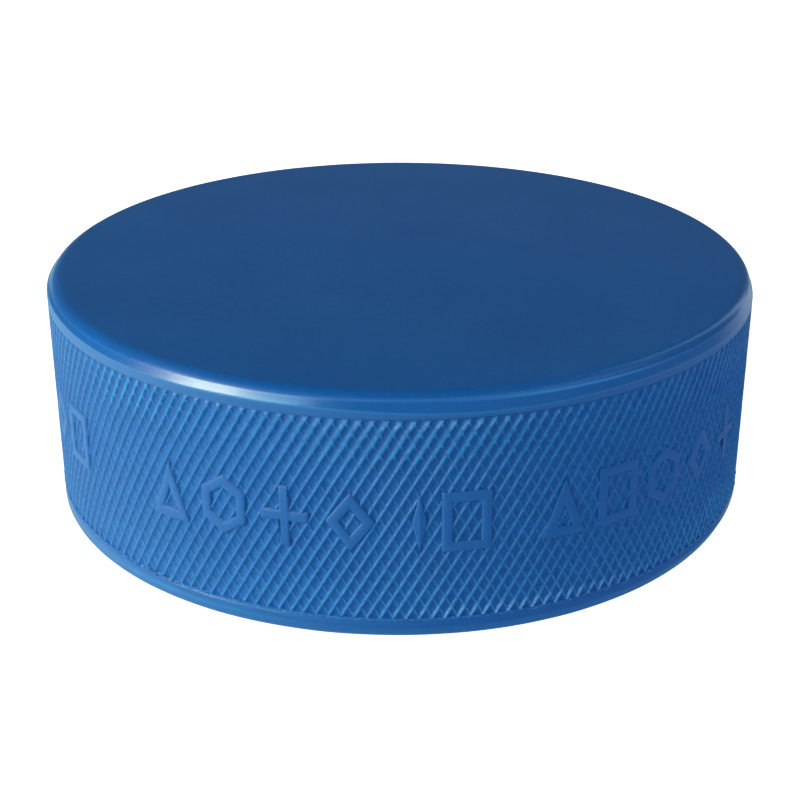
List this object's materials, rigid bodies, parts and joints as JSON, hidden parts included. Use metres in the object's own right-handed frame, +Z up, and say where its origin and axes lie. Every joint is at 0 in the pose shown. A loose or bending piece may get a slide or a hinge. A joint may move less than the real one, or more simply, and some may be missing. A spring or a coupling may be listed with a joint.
{
  "type": "ice hockey puck",
  "caption": "Blue moulded-rubber ice hockey puck with flat faces, rounded edges and a diamond-knurled side band with raised marks.",
  "frame": {"origin": "centre of the bottom face", "axes": "+Z up along the disc's axis; -Y is the side with the middle of the front row of marks"},
  "size_m": [0.0762, 0.0762, 0.0254],
  "materials": {
    "smooth_rubber": "satin, as moulded against a polished steel face",
    "textured_rubber": "matte, moulded diamond knurl"
  },
  "bodies": {
    "root": {"puck_body": "smooth_rubber", "knurled_band": "textured_rubber", "flash_line": "textured_rubber", "raised_marks": "smooth_rubber"}
  },
  "joints": []
}
